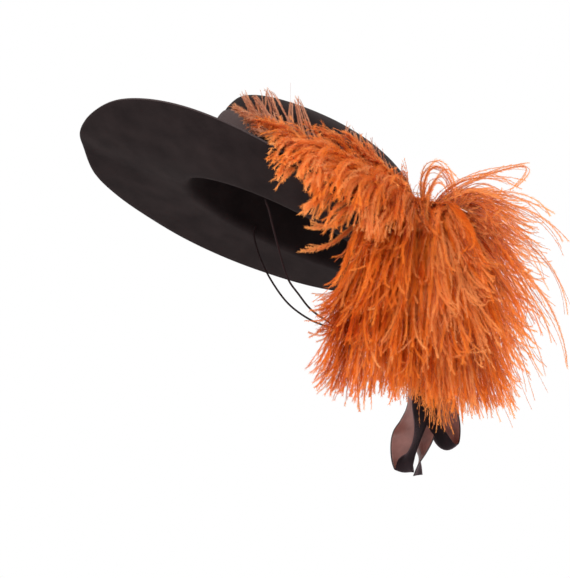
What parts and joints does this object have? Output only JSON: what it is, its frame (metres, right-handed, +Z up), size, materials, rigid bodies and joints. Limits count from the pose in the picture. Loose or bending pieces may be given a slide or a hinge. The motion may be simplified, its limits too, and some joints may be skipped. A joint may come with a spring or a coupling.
{
  "type": "tilt hat",
  "caption": "Wide-brimmed felt hat worn tilted, with a folded hatband, ostrich plumes arching from the back, hanging velvet ribbons and a thin head elastic.",
  "frame": {"origin": "centre of the head opening, where the hat sits on the head", "axes": "+Z up as worn, the wearer faces -Y, the wearer's left is +X; the hat is tipped up in front and at its left"},
  "size_m": [0.2999, 0.4823, 0.3802],
  "materials": {
    "felt": "matte wool felt, very dark brown",
    "band_ribbon": "soft ribbed ribbon, mauve brown",
    "velvet": "velvet with a mauve satin back",
    "plume": "dyed ostrich barbs, orange",
    "elastic": "woven cover, dark maroon"
  },
  "bodies": {
    "root": {"crown": "felt", "brim": "felt", "hatband": "band_ribbon", "head_elastic": "elastic", "ribbon_knot": "velvet", "ribbon_loop_left": "velvet", "ribbon_loop_right": "velvet", "ribbon_tail": "velvet", "side_plume": "plume", "near_plume": "plume", "back_plume_left": "plume", "back_plume_right": "plume"}
  },
  "joints": []
}
